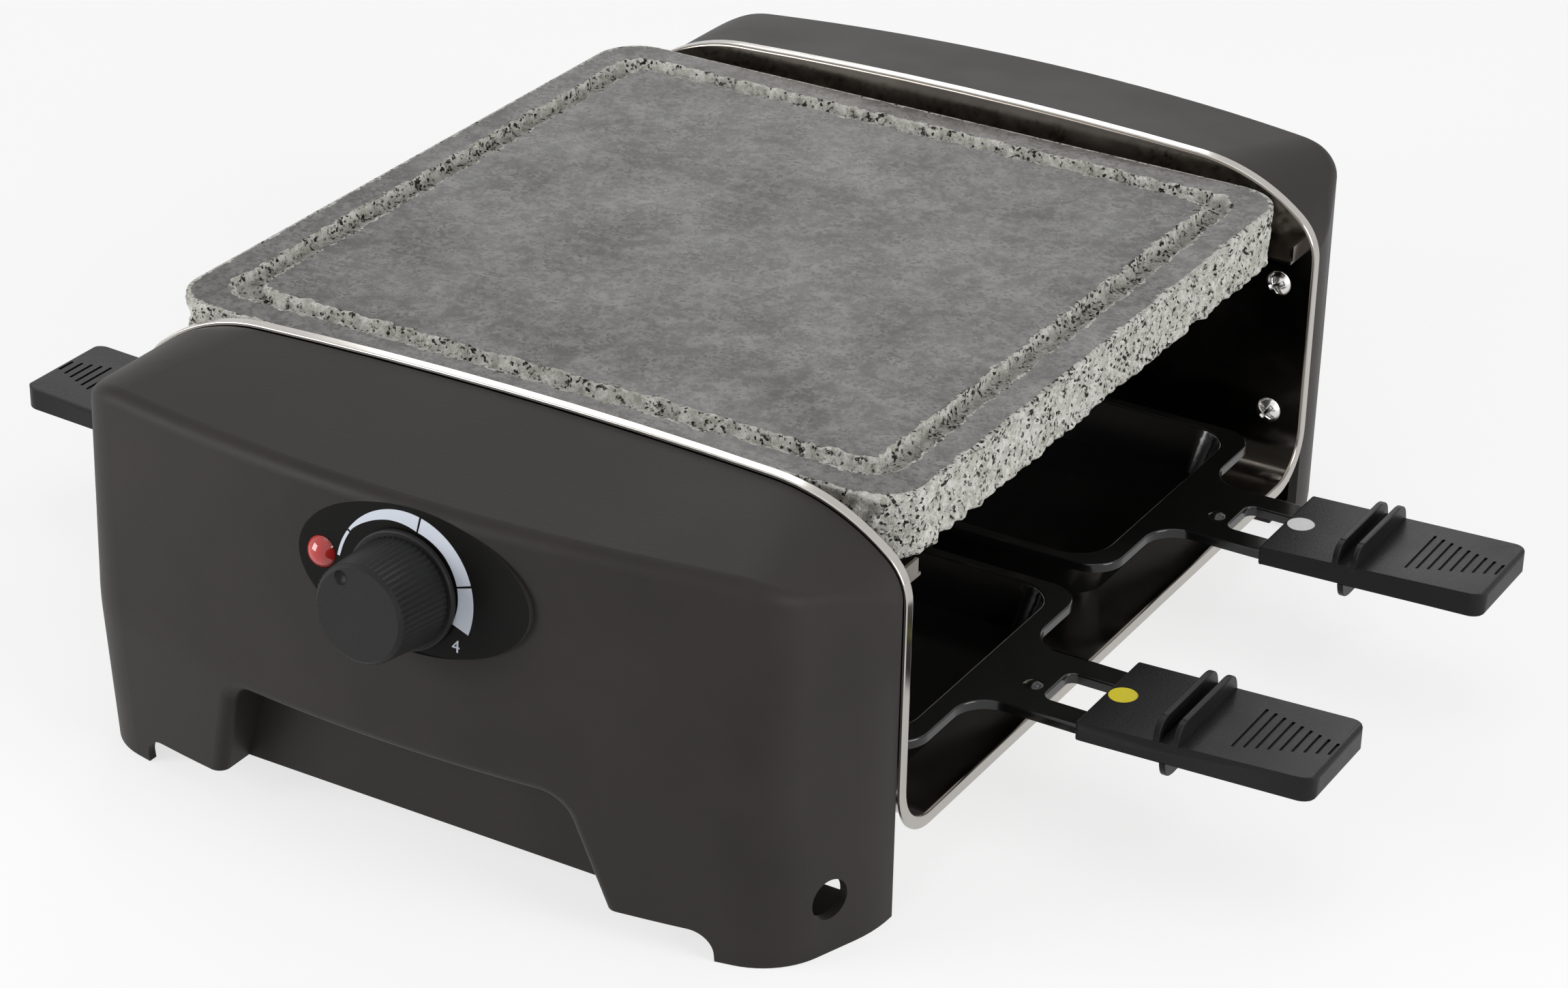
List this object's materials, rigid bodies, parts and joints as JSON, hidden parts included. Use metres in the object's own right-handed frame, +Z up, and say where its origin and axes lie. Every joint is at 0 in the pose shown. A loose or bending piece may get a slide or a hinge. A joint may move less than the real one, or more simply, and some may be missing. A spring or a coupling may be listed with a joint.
{
  "type": "raclette grill",
  "caption": "Table-top raclette grill: open steel tub between two dark moulded end casings, stone plate on top, pull-out pans below, thermostat knob in front.",
  "frame": {"origin": "on the table plane, under the middle of the whole outline", "axes": "+Z up; -Y towards the front with the knob; the pans pull out along +X and -X"},
  "size_m": [0.381, 0.3457, 0.1083],
  "materials": {
    "casing_plastic": "fine moulded grain",
    "tub_steel": "polished stainless sheet",
    "cover_plastic": "plain moulded",
    "stone": "polished top, rough sides",
    "element_tube": "dark heat-stained tube",
    "ceramic_bush": "unglazed",
    "plated_steel": "zinc plated",
    "shield_sheet": "bright sheet",
    "thermostat_case": "moulded phenolic",
    "brass_nut": "plain",
    "knob_plastic": "fluted",
    "lens_red": "clear red",
    "bulb_glass": "clear",
    "holder_plastic": "plain",
    "block_plastic": "plain",
    "lead_silicone": "silicone sleeve",
    "screw_steel": "bright",
    "pan_coating": "non-stick coat",
    "handle_plastic": "moulded",
    "dot_white": "plain",
    "dot_yellow": "plain",
    "dot_red": "plain",
    "dot_blue": "plain"
  },
  "bodies": {
    "housing": {"tub": "tub_steel", "front_casing": "casing_plastic", "rear_casing": "casing_plastic", "front_base_cover": "cover_plastic", "heating_element": "element_tube", "element_bushes": "ceramic_bush", "element_terminals": "plated_steel", "element_clips": "plated_steel", "heat_shield": "shield_sheet", "thermostat": "thermostat_case", "thermostat_nut": "brass_nut", "thermostat_bracket": "plated_steel", "bracket_screws": "screw_steel", "indicator_lens": "lens_red", "indicator_bulb": "bulb_glass", "lamp_holder": "holder_plastic", "terminal_block": "block_plastic", "terminal_screws": "brass_nut", "internal_leads": "lead_silicone", "tub_screws": "screw_steel", "cover_screws": "screw_steel"},
    "knob_and_shaft": {"knob": "knob_plastic", "thermostat_shaft": "plated_steel"},
    "stone": {"stone_plate": "stone"},
    "pan_set_front_right": {"pan_front_right": "pan_coating", "handle_front_right": "handle_plastic", "dot_front_right": "dot_yellow"},
    "pan_set_rear_right": {"pan_rear_right": "pan_coating", "handle_rear_right": "handle_plastic", "dot_rear_right": "dot_white"},
    "pan_set_front_left": {"pan_front_left": "pan_coating", "handle_front_left": "handle_plastic", "dot_front_left": "dot_red"},
    "pan_set_rear_left": {"pan_rear_left": "pan_coating", "handle_rear_left": "handle_plastic", "dot_rear_left": "dot_blue"}
  },
  "joints": [
    {"name": "knob_turn", "type": "hinge", "parent": "housing", "child": "knob_and_shaft", "pos_m": [0.005, -0.1541, 0.0795], "axis": [0, 0.9964, -0.0848], "range_deg": [-45, 140]},
    {"name": "stone_lift", "type": "slide", "parent": "housing", "child": "stone", "axis": [0, 0, 1], "range_m": [0, 0.05]},
    {"name": "pan_slide_front_right", "type": "slide", "parent": "housing", "child": "pan_set_front_right", "axis": [1, 0, 0], "range_m": [0, 0.1]},
    {"name": "pan_slide_rear_right", "type": "slide", "parent": "housing", "child": "pan_set_rear_right", "axis": [1, 0, 0], "range_m": [0, 0.1]},
    {"name": "pan_slide_front_left", "type": "slide", "parent": "housing", "child": "pan_set_front_left", "axis": [-1, 0, 0], "range_m": [0, 0.1]},
    {"name": "pan_slide_rear_left", "type": "slide", "parent": "housing", "child": "pan_set_rear_left", "axis": [-1, 0, 0], "range_m": [0, 0.1]}
  ]
}
